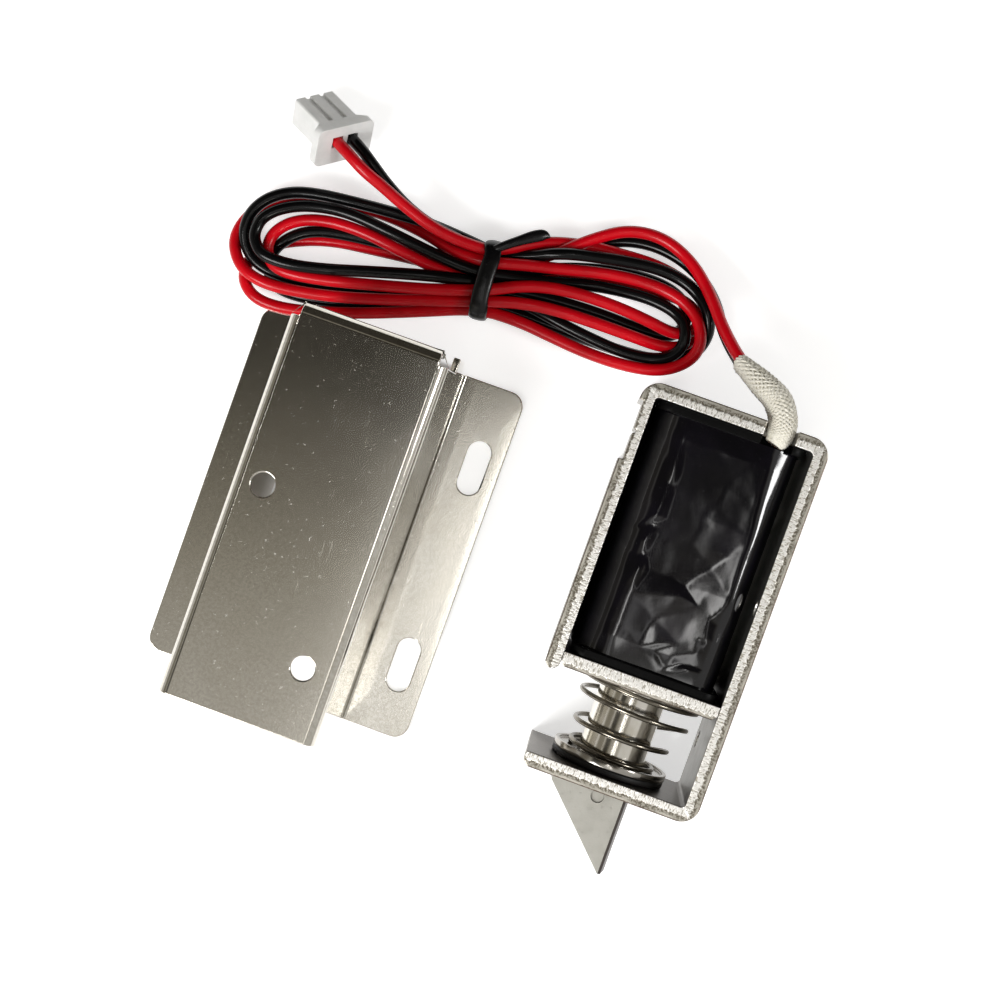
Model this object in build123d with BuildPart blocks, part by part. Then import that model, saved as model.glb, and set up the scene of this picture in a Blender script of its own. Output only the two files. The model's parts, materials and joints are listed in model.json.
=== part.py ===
from build123d import *

import os

# Small solenoid cabinet lock. The solenoid lies in its open frame, and its sheet cover stands beside it,
# taken off. Millimetres, +Z up. The bolt points towards -Y and the lead leaves at the other end. The
# origin is on the floor, in the middle of the frame and the cover.

# Solenoid frame: one bent steel strip, lying with its cut edges up and down
frame_length = 54.0
frame_width = 26.0
frame_depth = 19.0
strip = 2.0
frame_bend = 0.6
nose_window = 13.4
nose_setback = 1.7
nose_corner = 0.8
leg_end_chamfer = 0.7

# Thinned stretch and groove on the outside of the short leg, from the top plate's outside
thin_start = 3.0
thin_end = 11.2
thin_depth = 0.6
groove_at = 7.2
groove_width = 0.5
groove_depth = 0.35

# Notch in the top plate for the sleeve
notch_offset = 6.1
notch_width = 4.4
notch_depth = 4.6

# Second pole plate, between leg and backbone
plate_inset = 0.8
plate_thick = 2.0
plate_chamfer = 0.6

# Plunger, guide tube and fixed core
plunger_radius = 4.7
tube_clearance = 0.06
tube_wall = 0.3
seat_clearance = 0.05
stroke = 7.0
pole_margin = 0.6
core_length = 14.0
rivet_radius = 2.5
end_chamfer = 0.4
spigot_radius = 2.4
spigot_length = 6.0

# Latch tongue and its pin
tongue_reach = 11.5
tongue_width = 11.7
tongue_offset = -1.35
tongue_thick = 7.6
tongue_draft = 0.6
tongue_edge = 0.35
tongue_land = 0.9
tongue_tip = 1.0
tongue_gap = 0.25
pin_radius = 0.9
pin_clearance = 0.02
pin_at = 1.5
pin_sink = 0.3

# Washers on the plunger
damper_radius = 8.0
damper_thick = 0.9
washer_radius = 8.1
washer_thick = 0.6
washer_rim = 0.35
washer_rim_width = 0.6
rest_gap = 0.1

# Return spring, conical, with its wide end at the second pole plate
spring_wire = 0.7
spring_wide = 8.1
spring_narrow = 5.9
spring_turns = 3.6
spring_seat = 0.05

# Spool, winding and tape
spool_flange = 1.2
spool_wall = 1.0
spool_side_gap = 0.1
spool_face_gap = 0.4
spool_corner = 2.0
coil_side_gap = 1.7
coil_face_gap = 1.5
coil_corner = 5.5
tape_thick = 0.4
pocket_reach = 1.0

# Cover: one folded sheet, standing on its two flanges
cover_face = 21.6
cover_height = 28.0
cover_sheet = 1.0
cover_bend = 0.4
left_flange = 8.9
right_flange = 9.4
flange_setback = 1.5
flange_setback_height = 8.0
flange_corner = 2.2
lip_height = 5.0
lip_bend = 1.7
lip_reach = 3.0
relief_width = 1.3
relief_reach = 2.0
relief_depth = 13.0
slot_width = 3.4
slot_length = 7.9
slot_edge = 3.75
slot_first = 13.6
slot_inset = 10.4

# Screws between cover and frame, in from each end and across from the middle
screw_first = 24.1
screw_inset = 9.3
screw_across = (-6.7, 6.1)
screw_hole_radius = 1.6
thread_radius = 1.25

# Where frame and cover stand
stand_gap = 15.0
cover_setback = 5.9

# Leads and sleeve. Each arc takes this share of its shorter run
wire = 1.7
arc_share = 0.45

# Hank of the folded lead, and the tie round its waist
hank_height = 5.1
hank_edge = 1.2
hank_turn = 6.0
hank_left = (-38.6, 34.9)
hank_left_radius = 8.6
hank_right = (12.5, 41.7)
hank_right_radius = 7.7
waist_width = 9.7
waist_corner = 1.9
tie_at = (-11.4, 38.8)
tie_width = 2.6
tie_wall = 0.9
tail_length = 7.0
tail_width = 1.6
tail_thick = 0.8
tail_turn = 29.0

# Plug, lying tilted on the corner of its mating end
plug_face = (-36.3, 50.35)
plug_yaw = -26.5
plug_pitch = 26.7
plug_roll = 42.0
plug_width = 6.4
plug_thick = 4.2
plug_length = 8.4
plug_corner = 0.35
collar_length = 1.3
collar_blend = 1.1
collar_thick = 6.0
collar_drop = 0.5
ear_width = 9.4
contact_pitch = 2.5
wire_hole_depth = 3.0
wire_insert = 2.0
socket_size = 1.3
rib_gap = 0.8
rib_depth = 0.4
rib_spacing = 2.3
contact_size = 1.1
contact_length = 4.0

# Places worked out from the sizes
cover_width = cover_face + left_flange + right_flange
cover_length = frame_length
whole_width = cover_width + stand_gap + frame_width
cover_x = left_flange + (cover_face - whole_width) / 2
bolt_x = (whole_width - frame_width) / 2
bolt_z = frame_depth / 2
frame_left = bolt_x - frame_width / 2
frame_top = (frame_length + tongue_reach) / 2
cover_top = frame_top - cover_setback
nose_inside = frame_length - strip
frame_inside = frame_width - 2 * strip
leg_length = frame_length - nose_window
plate_low = leg_length - plate_inset
plate_at = plate_low - plate_thick
screw_along = (screw_first, frame_length - screw_inset)
tube_inner = plunger_radius + tube_clearance
tube_outer = tube_inner + tube_wall
spool_bore = tube_outer + seat_clearance
barrel_radius = spool_bore + spool_wall
core_end = strip + core_length
plunger_top = core_end + stroke + pole_margin
tongue_back = nose_inside - rest_gap
damper_high = tongue_back - damper_thick
washer_high = damper_high - washer_thick
tongue_end = frame_length + tongue_reach
coil_width = frame_inside - 2 * coil_side_gap
coil_depth = frame_depth - 2 * coil_face_gap
coil_high = strip + spool_flange
coil_low = plate_at - spool_flange
notch_x = bolt_x + notch_offset
notch_floor = frame_depth - notch_depth
tongue_right = tongue_offset + tongue_width / 2
tongue_left = tongue_offset - tongue_width / 2


def along(distance):
    """Plane square to the bolt, at a distance from the top plate's outside. It faces along the bolt."""
    return Plane(origin=(bolt_x, frame_top - distance, bolt_z), x_dir=(1, 0, 0), z_dir=(0, -1, 0))


def keep(piece, name):
    """Name a finished piece and write it."""
    piece.part.label = name
    export_step(piece.part, f"parts/{name}.step")


def tongue_outline(gap):
    """Section of the tongue, drafted both ways from its middle, with a gap all round."""
    half = tongue_width / 2 + gap
    face = half - tongue_draft
    rise = tongue_thick / 2 + gap
    with Locations((tongue_offset, 0)):
        corners = ((-half, 0), (-face, rise), (face, rise), (half, 0), (face, -rise), (-face, -rise))
        Polygon(*corners, align=None)


def lead(name, points):
    """Round lead: straight runs joined by tangent arcs, each as large as its two runs allow."""
    radii = []
    for before, corner, after in zip(points, points[1:], points[2:]):
        first = Vector(*corner) - Vector(*before)
        second = Vector(*after) - Vector(*corner)
        corner_arm = Vector(1, 0, 0).rotate(Axis.Z, first.get_angle(second) / 2)
        radii.append(arc_share * min(first.length, second.length) * corner_arm.X / corner_arm.Y)
    with BuildPart() as tube:
        with BuildLine() as route:
            FilletPolyline(*points, radius=radii)
        with BuildSketch(Plane(origin=route.line @ 0, z_dir=route.line % 0)) as section:
            Circle(wire / 2)
        sweep(path=route.line)
    length = route.wire().length
    share = tube.part.volume / (section.sketch.area * length)
    print(name, round(length, 1), "long, radii", [round(radius, 1) for radius in radii])
    print(name, "volume over section and length", round(share, 4))
    return tube


os.makedirs("parts", exist_ok=True)

# Frame
with BuildPart() as frame:
    with BuildSketch() as strip_edge:
        with Locations((bolt_x, frame_top - frame_length / 2)):
            RectangleRounded(frame_width, frame_length, frame_bend + strip)
            RectangleRounded(frame_inside, frame_length - 2 * strip, frame_bend, mode=Mode.SUBTRACT)
        with Locations((frame_left, frame_top - leg_length)):
            Rectangle(
                strip + frame_bend,
                nose_inside - leg_length,
                align=(Align.MIN, Align.MAX),
                mode=Mode.SUBTRACT,
            )
        with Locations((frame_left, frame_top - frame_length)):
            Rectangle(2 * strip, strip, align=(Align.MIN, Align.MIN))
            Rectangle(nose_setback, strip, align=(Align.MIN, Align.MIN), mode=Mode.SUBTRACT)
        nose_end = strip_edge.vertices().group_by(Axis.Y)[0].sort_by(Axis.X)[0]
        chamfer(nose_end, nose_corner)
        leg_end = strip_edge.vertices().filter_by_position(
            Axis.Y, frame_top - leg_length - 0.01, frame_top - leg_length + 0.01
        )
        chamfer(leg_end, leg_end_chamfer)
    extrude(amount=frame_depth)
    with BuildSketch():
        with Locations((frame_left, frame_top - thin_start)):
            Rectangle(thin_depth, thin_end - thin_start, align=(Align.MIN, Align.MAX))
        with Locations((frame_left, frame_top - groove_at)):
            Rectangle(thin_depth + groove_depth, groove_width, align=(Align.MIN, Align.CENTER))
    extrude(amount=frame_depth, mode=Mode.SUBTRACT)
    with BuildSketch(along(0)):
        with Locations((notch_offset, bolt_z)):
            Rectangle(notch_width, notch_depth, align=(Align.CENTER, Align.MAX))
        Circle(rivet_radius + seat_clearance)
    extrude(amount=strip, mode=Mode.SUBTRACT)
    with BuildSketch(along(nose_inside)):
        tongue_outline(tongue_gap)
    extrude(amount=strip, mode=Mode.SUBTRACT)
    for distance, across in zip(screw_along, screw_across):
        with BuildSketch(Plane.YZ.offset(frame_left + frame_width - strip)):
            with Locations((frame_top - distance, bolt_z - across)):
                Circle(thread_radius)
        extrude(amount=strip, mode=Mode.SUBTRACT)
keep(frame, "frame")

# Second pole plate, with the bore for the guide tube
with BuildPart() as inner_plate:
    with BuildSketch():
        with Locations((bolt_x, frame_top - plate_at)):
            plate_edge = Rectangle(frame_inside, plate_thick, align=(Align.CENTER, Align.MAX))
        chamfer(plate_edge.vertices().group_by(Axis.Y)[0], plate_chamfer)
    extrude(amount=frame_depth)
    with BuildSketch(along(plate_at)):
        Circle(spool_bore)
    extrude(amount=plate_thick, mode=Mode.SUBTRACT)
keep(inner_plate, "inner_plate")

# Spool, with a notch for the sleeve in its upper flange
with BuildPart() as bobbin:
    with BuildSketch(along(strip)):
        Circle(barrel_radius)
    extrude(amount=plate_at - strip)
    for distance in (strip, coil_low):
        with BuildSketch(along(distance)):
            RectangleRounded(
                frame_inside - 2 * frame_bend - 2 * spool_side_gap,
                frame_depth - 2 * spool_face_gap,
                spool_corner,
            )
        extrude(amount=spool_flange)
    with BuildSketch(along(strip)):
        Circle(spool_bore)
    extrude(amount=plate_at - strip, mode=Mode.SUBTRACT)
    with BuildSketch(along(strip)):
        with Locations((notch_offset, notch_floor - bolt_z)):
            Rectangle(notch_width, notch_depth, align=(Align.CENTER, Align.MIN))
    extrude(amount=spool_flange, mode=Mode.SUBTRACT)
keep(bobbin, "bobbin")

# Winding and the tape round it, both with a pocket for the sleeve's end
with BuildPart() as winding:
    with BuildSketch(along(coil_high)):
        RectangleRounded(coil_width, coil_depth, coil_corner)
        Circle(barrel_radius, mode=Mode.SUBTRACT)
    extrude(amount=coil_low - coil_high)
    with BuildSketch(along(coil_high)):
        with Locations((notch_offset, notch_floor - bolt_z)):
            Rectangle(notch_width, notch_depth, align=(Align.CENTER, Align.MIN))
    extrude(amount=pocket_reach, mode=Mode.SUBTRACT)
keep(winding, "winding")

with BuildPart() as tape_wrap:
    with BuildSketch(along(coil_high)):
        RectangleRounded(coil_width, coil_depth, coil_corner)
        offset(amount=tape_thick)
        RectangleRounded(coil_width, coil_depth, coil_corner, mode=Mode.SUBTRACT)
    extrude(amount=coil_low - coil_high)
    with BuildSketch(along(coil_high)):
        with Locations((notch_offset, notch_floor - bolt_z)):
            Rectangle(notch_width, notch_depth, align=(Align.CENTER, Align.MIN))
    extrude(amount=pocket_reach, mode=Mode.SUBTRACT)
keep(tape_wrap, "tape_wrap")

# Guide tube, from the top plate's inside to the second pole plate's outside
with BuildPart() as guide_tube:
    with BuildSketch(along(strip)):
        Circle(tube_outer)
        Circle(tube_inner, mode=Mode.SUBTRACT)
    extrude(amount=plate_low - strip)
keep(guide_tube, "guide_tube")

# Fixed core, riveted into the top plate
with BuildPart() as fixed_core:
    with BuildSketch(along(strip)):
        Circle(plunger_radius)
    extrude(amount=core_length)
    chamfer(fixed_core.edges().group_by(Axis.Y)[0], end_chamfer)
    with BuildSketch(along(0)):
        Circle(rivet_radius)
    extrude(amount=strip)
keep(fixed_core, "fixed_core")

# Plunger, with the spigot that carries the tongue
with BuildPart() as plunger:
    with BuildSketch(along(plunger_top)):
        Circle(plunger_radius)
    extrude(amount=tongue_back - plunger_top)
    chamfer(plunger.edges().group_by(Axis.Y)[-1], end_chamfer)
    with BuildSketch(along(tongue_back)):
        Circle(spigot_radius)
    extrude(amount=spigot_length)
    with BuildSketch(Plane.XY):
        with Locations((bolt_x, frame_top - frame_length - pin_at)):
            Circle(pin_radius + pin_clearance)
    extrude(amount=frame_depth, mode=Mode.SUBTRACT)
keep(plunger, "plunger")

# Latch tongue, bored for the spigot and the pin, with its slope on the -X side
with BuildPart() as latch_tongue:
    with BuildSketch(along(tongue_back)) as tongue_section:
        tongue_outline(0)
        chamfer(tongue_section.vertices().group_by(Axis.X)[-2], tongue_edge)
    extrude(amount=tongue_end - tongue_back)
    with BuildSketch():
        with Locations((bolt_x, frame_top)):
            Polygon(
                (tongue_left, -frame_length - tongue_land),
                (tongue_right - tongue_tip, -tongue_end),
                (tongue_left, -tongue_end),
                align=None,
            )
    extrude(amount=frame_depth, mode=Mode.SUBTRACT)
    with BuildSketch(along(tongue_back)):
        Circle(spigot_radius + pin_clearance)
    extrude(amount=spigot_length + pin_clearance, mode=Mode.SUBTRACT)
    with BuildSketch():
        with Locations((bolt_x, frame_top - frame_length - pin_at)):
            Circle(pin_radius + pin_clearance)
    extrude(amount=frame_depth, mode=Mode.SUBTRACT)
keep(latch_tongue, "latch_tongue")

with BuildPart() as cross_pin:
    with BuildSketch(Plane.XY.offset(bolt_z)):
        with Locations((bolt_x, frame_top - frame_length - pin_at)):
            Circle(pin_radius)
    extrude(amount=tongue_thick / 2 - pin_sink, both=True)
keep(cross_pin, "cross_pin")

# Rubber washer that meets the nose plate, and the plated washer with its rim that takes the spring
with BuildPart() as damping_washer:
    with BuildSketch(along(damper_high)):
        Circle(damper_radius)
        Circle(plunger_radius + seat_clearance, mode=Mode.SUBTRACT)
    extrude(amount=damper_thick)
keep(damping_washer, "damping_washer")

with BuildPart() as spring_washer:
    with BuildSketch(along(washer_high)):
        Circle(washer_radius)
        Circle(plunger_radius + seat_clearance, mode=Mode.SUBTRACT)
    extrude(amount=washer_thick)
    with BuildSketch(along(washer_high - washer_rim)):
        Circle(washer_radius)
        Circle(washer_radius - washer_rim_width, mode=Mode.SUBTRACT)
    extrude(amount=washer_rim)
keep(spring_washer, "spring_washer")

# Return spring
spring_start = plate_low + spring_seat + spring_wire / 2
spring_end = washer_high - spring_seat - spring_wire / 2
spring_height = spring_end - spring_start
spring_lean = Vector(spring_height, 0).get_angle(Vector(spring_height, spring_wide - spring_narrow))
with BuildPart() as return_spring:
    with BuildLine() as coil_line:
        Helix(
            spring_height / spring_turns,
            spring_height,
            spring_wide,
            center=(bolt_x, frame_top - spring_start, bolt_z),
            direction=(0, -1, 0),
            cone_angle=-spring_lean,
        )
    with BuildSketch(Plane(origin=coil_line.line @ 0, z_dir=coil_line.line % 0)):
        Circle(spring_wire / 2)
    sweep(path=coil_line.line, is_frenet=True)
keep(return_spring, "return_spring")

# Cover: hat section, then the reliefs and the lip at its top end, the slots and the screw holes
wall_inside = cover_face / 2 - cover_sheet
lip_half = cover_face / 2 - relief_width
slot_x = cover_x + cover_face / 2 + right_flange - slot_edge
cover_end = Plane(origin=(cover_x, cover_top, 0), x_dir=(1, 0, 0), z_dir=(0, -1, 0))
with BuildPart() as cover:
    with BuildSketch(cover_end):
        with BuildLine():
            FilletPolyline(
                (-cover_face / 2 - left_flange, 0),
                (-wall_inside, 0),
                (-wall_inside, cover_height - cover_sheet),
                (wall_inside, cover_height - cover_sheet),
                (wall_inside, 0),
                (cover_face / 2 + right_flange, 0),
                radius=[cover_bend + cover_sheet, cover_bend, cover_bend, cover_bend + cover_sheet],
            )
            offset(amount=cover_sheet, side=Side.LEFT)
        make_face()
    extrude(amount=cover_length)
    with BuildSketch(cover_end):
        Rectangle(2 * cover_width, flange_setback_height, align=(Align.CENTER, Align.MIN))
    extrude(amount=flange_setback, mode=Mode.SUBTRACT)
    with BuildSketch(cover_end):
        with Locations((0, cover_height)):
            Rectangle(cover_face, relief_depth, align=(Align.CENTER, Align.MAX))
            Rectangle(
                2 * lip_half,
                relief_depth,
                align=(Align.CENTER, Align.MAX),
                mode=Mode.SUBTRACT,
            )
    extrude(amount=relief_reach, mode=Mode.SUBTRACT)
    with BuildSketch(cover_end):
        with Locations((0, cover_height)):
            Rectangle(2 * lip_half, cover_sheet, align=(Align.CENTER, Align.MAX))
    extrude(amount=lip_reach, mode=Mode.SUBTRACT)
    with BuildSketch(Plane.YZ.offset(cover_x - lip_half)):
        with BuildLine():
            FilletPolyline(
                (cover_top - lip_reach, cover_height - cover_sheet),
                (cover_top - cover_sheet, cover_height - cover_sheet),
                (cover_top - cover_sheet, cover_height - lip_height),
                radius=lip_bend - cover_sheet,
            )
            offset(amount=cover_sheet, side=Side.LEFT)
        make_face()
    extrude(amount=2 * lip_half)
    fillet(cover.edges().filter_by(Axis.Z).group_by(Axis.X)[0], flange_corner)
    fillet(cover.edges().filter_by(Axis.Z).group_by(Axis.X)[-1], flange_corner)
    with BuildSketch():
        for distance in (slot_first, cover_length - slot_inset):
            with Locations((slot_x, cover_top - distance)):
                SlotOverall(slot_length, slot_width, rotation=90)
    extrude(amount=cover_sheet, mode=Mode.SUBTRACT)
    with BuildSketch(Plane.XY.offset(cover_height - cover_sheet)):
        for distance, across in zip(screw_along, screw_across):
            with Locations((cover_x + across, cover_top - distance)):
                Circle(screw_hole_radius)
    extrude(amount=cover_sheet, mode=Mode.SUBTRACT)
keep(cover, "cover")

# Braided sleeve, from the coil over the notch, ending round the two leads
sleeve_path = (
    ((notch_x - 0.2, frame_top - 3.8, 17.0), (0.25, 0.95, -0.1), 1.1, 1.1),
    ((notch_x + 0.1, frame_top - 1.6, 16.7), (0.1, 0.98, -0.05), 1.6, 1.6),
    ((notch_x - 0.1, frame_top + 0.5, 16.6), (-0.25, 0.95, -0.15), 1.85, 1.85),
    ((32.0, 35.7, 15.9), (-0.75, 0.6, -0.28), 2.0, 1.95),
    ((29.2, 37.4, 14.5), (-0.85, 0.35, -0.4), 1.9, 1.7),
    ((25.9, 39.1, 12.2), (-0.62, 0.6, -0.5), 2.0, 1.25),
)
with BuildPart() as lead_sleeve:
    for centre, heading, half_height, half_width in sleeve_path:
        with BuildSketch(Plane(origin=centre, x_dir=(0, 0, 1), z_dir=heading)):
            Ellipse(half_height, half_width)
    loft()
keep(lead_sleeve, "lead_sleeve")

# Leads, from inside the sleeve's end to the hank
red_route = (
    (26.4, 38.6, 13.5),
    (22.4, 42.7, 10.1),
    (19.0, 47.0, 6.9),
    (14.8, 50.6, 5.1),
    (10.0, 52.7, 4.3),
    (5.0, 52.6, 4.0),
    (0.4, 49.4, 3.9),
    (-3.2, 45.2, 3.6),
)
black_route = (
    (26.4, 38.5, 11.4),
    (22.4, 42.6, 8.0),
    (19.5, 47.2, 4.95),
    (15.4, 50.3, 3.3),
    (10.3, 51.9, 2.6),
    (5.4, 51.3, 2.3),
    (1.5, 48.7, 2.1),
    (-1.8, 45.4, 2.0),
)
lead_red = lead("lead_red", red_route)
keep(lead_red, "lead_red")
lead_black = lead("lead_black", black_route)
keep(lead_black, "lead_black")

# Hank: two loops of the folded lead, with the waist that the tie holds
tie_heading = Vector(1, 0, 0).rotate(Axis.Z, hank_turn)
tie_middle = Vector(*tie_at)
tie_plane = Plane(
    origin=tie_middle - tie_heading * (tie_width / 2),
    x_dir=tie_heading.rotate(Axis.Z, 90),
    z_dir=tie_heading,
)
waist_height = hank_height - tie_wall


def loop(centre, radius):
    """One loop of the hank, narrowing to its waist, with rounded edges."""
    with BuildPart() as body:
        with BuildSketch():
            with Locations(centre):
                Circle(radius)
            with Locations(tie_at):
                Circle(waist_width / 2)
            make_hull()
        extrude(amount=hank_height)
        fillet(body.edges().group_by(Axis.Z)[0] + body.edges().group_by(Axis.Z)[-1], hank_edge)
    return body.part


with BuildPart() as lead_hank:
    add(loop(hank_left, hank_left_radius))
    add(loop(hank_right, hank_right_radius))
    with BuildSketch(tie_plane):
        Rectangle(3 * waist_width, 3 * hank_height)
        with Locations((0, tie_wall + waist_height / 2)):
            RectangleRounded(waist_width, waist_height, waist_corner, mode=Mode.SUBTRACT)
    extrude(amount=tie_width, mode=Mode.SUBTRACT)
keep(lead_hank, "lead_hank")

# Tie, a closed band round the waist with one free tail
with BuildPart() as cable_tie:
    with BuildSketch(tie_plane):
        with Locations((0, tie_wall + waist_height / 2)):
            RectangleRounded(
                waist_width + 2 * tie_wall,
                waist_height + 2 * tie_wall,
                waist_corner + tie_wall,
            )
            RectangleRounded(waist_width, waist_height, waist_corner, mode=Mode.SUBTRACT)
    extrude(amount=tie_width)
    tail_start = tie_middle + tie_heading.rotate(Axis.Z, 90) * (waist_width / 2 - tie_wall)
    tail_heading = Vector(1, 0, 0).rotate(Axis.Z, tail_turn)
    with BuildSketch(Plane(origin=tail_start + Vector(0, 0, hank_height), x_dir=tail_heading)):
        Rectangle(tail_length, tail_width, align=(Align.MIN, Align.CENTER))
    extrude(amount=tail_thick)
keep(cable_tie, "cable_tie")

# Plug: its outlet axis points up and back along the leads, and its lowest corner is on the floor
outlet = Vector(1, 0, 0).rotate(Axis.Y, -plug_pitch).rotate(Axis.Z, plug_yaw)
side = Vector(0, 1, 0).rotate(Axis.X, -plug_roll).rotate(Axis.Y, -plug_pitch).rotate(Axis.Z, plug_yaw)
under = side.cross(outlet)
plug_rise = plug_length * outlet.Z - side.Z * plug_width / 2 - under.Z * plug_thick / 2
plug_origin = Vector(*plug_face) + Vector(0, 0, plug_rise)


def into_plug(depth):
    """Plane square to the plug's axis, at a depth from the face that the leads enter."""
    return Plane(origin=plug_origin - outlet * depth, x_dir=side, z_dir=-outlet)


with BuildPart() as plug_housing:
    with BuildSketch(into_plug(0)):
        with Locations((0, collar_drop)):
            RectangleRounded(ear_width, collar_thick, plug_thick / 4)
    extrude(amount=collar_length)
    with BuildSketch(into_plug(collar_length)):
        with Locations((0, collar_drop)):
            RectangleRounded(ear_width, collar_thick, plug_thick / 4)
    with BuildSketch(into_plug(collar_length + collar_blend)):
        RectangleRounded(plug_width, plug_thick, plug_corner)
    loft()
    with BuildSketch(into_plug(collar_length + collar_blend)):
        RectangleRounded(plug_width, plug_thick, plug_corner)
    extrude(amount=plug_length - collar_length - collar_blend)
    with BuildSketch(into_plug(collar_length + collar_blend)):
        for place in (-rib_spacing / 2, rib_spacing / 2):
            with Locations((place, -plug_thick / 2)):
                Rectangle(rib_gap, 2 * rib_depth)
    extrude(amount=plug_length, mode=Mode.SUBTRACT)
    with BuildSketch(into_plug(0)):
        with GridLocations(contact_pitch, 0, 2, 1):
            Rectangle(wire, wire)
    extrude(amount=wire_hole_depth, mode=Mode.SUBTRACT)
    with BuildSketch(into_plug(wire_hole_depth)):
        with GridLocations(contact_pitch, 0, 2, 1):
            Rectangle(socket_size, socket_size)
    extrude(amount=plug_length, mode=Mode.SUBTRACT)
keep(plug_housing, "plug_housing")

with BuildPart() as plug_contacts:
    with BuildSketch(into_plug(wire_insert)):
        with GridLocations(contact_pitch, 0, 2, 1):
            Rectangle(contact_size, contact_size)
    extrude(amount=contact_length)
keep(plug_contacts, "plug_contacts")


def plug_lead(name, place, points):
    """Lead from the hank's side of the plug: straight out of its hole, then along the points."""
    start = plug_origin + side * place - outlet * wire_insert
    turn = plug_origin + side * place + outlet * wire_insert
    return lead(name, [tuple(start), tuple(turn), *points])


end_red_points = ((-31.4, 46.9, 8.3), (-26.7, 44.9, 6.6), (-22.4, 42.8, 4.4))
end_red = plug_lead("end_red", -contact_pitch / 2, end_red_points)
keep(end_red, "end_red")
end_black_points = ((-30.4, 47.8, 6.4), (-26.2, 45.3, 4.7), (-22.4, 43.0, 2.6))
end_black = plug_lead("end_black", contact_pitch / 2, end_black_points)
keep(end_black, "end_black")
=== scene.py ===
import json
import logging
import math
from dataclasses import dataclass
from enum import Enum
from typing import Callable, Iterable, Optional, Sequence, Union

import bmesh
import bpy
from mathutils import Matrix, Vector, noise
from mathutils.bvhtree import BVHTree
from mathutils.geometry import delaunay_2d_cdt

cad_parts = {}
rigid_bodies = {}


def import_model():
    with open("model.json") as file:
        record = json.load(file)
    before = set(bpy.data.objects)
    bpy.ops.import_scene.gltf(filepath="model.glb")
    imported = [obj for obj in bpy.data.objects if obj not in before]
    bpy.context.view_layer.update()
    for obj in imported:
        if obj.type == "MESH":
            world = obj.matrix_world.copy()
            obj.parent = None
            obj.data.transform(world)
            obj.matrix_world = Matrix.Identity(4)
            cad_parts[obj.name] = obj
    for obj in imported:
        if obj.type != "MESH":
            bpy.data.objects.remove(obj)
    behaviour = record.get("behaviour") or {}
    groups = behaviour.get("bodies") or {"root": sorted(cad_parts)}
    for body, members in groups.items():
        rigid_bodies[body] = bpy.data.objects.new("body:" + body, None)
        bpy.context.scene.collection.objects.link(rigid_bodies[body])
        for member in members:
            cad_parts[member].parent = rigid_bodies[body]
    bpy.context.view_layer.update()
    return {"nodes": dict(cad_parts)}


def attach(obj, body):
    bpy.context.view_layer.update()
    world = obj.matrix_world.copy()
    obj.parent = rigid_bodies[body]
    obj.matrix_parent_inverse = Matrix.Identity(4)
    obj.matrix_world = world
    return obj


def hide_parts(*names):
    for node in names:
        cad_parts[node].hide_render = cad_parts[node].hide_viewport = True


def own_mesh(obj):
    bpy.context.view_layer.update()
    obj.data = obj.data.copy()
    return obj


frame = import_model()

Point = tuple[float, float, float]
Color = tuple[float, float, float]
Stations = Sequence[tuple[float, ...]]
Obj = bpy.types.Object
Material = bpy.types.Material
Socket = bpy.types.NodeSocket
MM = 0.001
TENTHS = 10  # whole tenths of a millimetre to the millimetre
TURN = 2 * math.pi
UPWARD = (0, 0, 1)
METAL = {"Metallic": 1.0}
WELD_M = 1e-6  # corners nearer than this are one
CAD_WELD_M = 1.5e-6  # the same for a copy of a CAD node
FLAT_DEG = 0.4  # faces that turn by less than this are one
STRAY_SHARE = 0.6  # how far a rounded corner may stray, as a share of the rounding
log = logging.getLogger("solenoid_lock")


class Body(Enum):
    """Bodies of the frame that pieces ride on."""

    CASE = "case"
    BOLT = "bolt"


# Shader tools


def operator(operation: str, swap: bool = False) -> Callable[["Value", "Number"], "Value"]:
    """Make a method that adds one Math node.

    Args:
        operation: the node's operation.
        swap: whether the other value comes first.

    Returns:
        The method.
    """

    def method(self: "Value", other: "Number") -> "Value":
        """Add the node on this value and the other."""
        pair = (other, self) if swap else (self, other)
        return self.shade.math(operation, *pair)

    return method


class Value:
    """A socket that takes part in arithmetic. Each operator adds its Math node."""

    def __init__(self, shade: "Shade", socket: Socket) -> None:
        """Wrap one output socket of a tree."""
        self.shade = shade
        self.socket = socket

    __add__ = operator("ADD")
    __radd__ = operator("ADD", True)
    __sub__ = operator("SUBTRACT")
    __rsub__ = operator("SUBTRACT", True)
    __mul__ = operator("MULTIPLY")
    __rmul__ = operator("MULTIPLY", True)
    __pow__ = operator("POWER")
    most = operator("MAXIMUM")

    def __abs__(self) -> "Value":
        """Size without sign."""
        return self.shade.math("ABSOLUTE", self)

    def ramp(self, low: float, high: float) -> "Value":
        """Smooth step from 0 at low to 1 at high. High may be below low."""
        if low > high:
            return 1 - self.ramp(high, low)
        settings = {"interpolation_type": "SMOOTHSTEP", "clamp": True}
        return self.shade.node("ShaderNodeMapRange", settings, {0: self, 1: low, 2: high})

    def between(self, rise: tuple[float, float], fall: tuple[float, float]) -> "Value":
        """Smooth step up over the rise, then down over the fall, each from where it is 0."""
        return self.ramp(*rise) * self.ramp(*fall)


Number = Union[Value, float]


def add_node(
    tree: bpy.types.NodeTree, kind: str, settings: Optional[dict] = None, values: Optional[dict] = None
) -> bpy.types.Node:
    """Add a node to a tree.

    Args:
        tree: the tree.
        kind: the node's type name.
        settings: its properties, set first.
        values: numbers, colours, sockets or Values for its inputs, by name or index.

    Returns:
        The node.
    """
    made = tree.nodes.new(kind)
    for key, value in (settings or {}).items():
        setattr(made, key, value)
    for key, value in (values or {}).items():
        source = value.socket if isinstance(value, Value) else value
        if isinstance(source, Socket):
            tree.links.new(source, made.inputs[key])
        else:
            made.inputs[key].default_value = source
    return made


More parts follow.
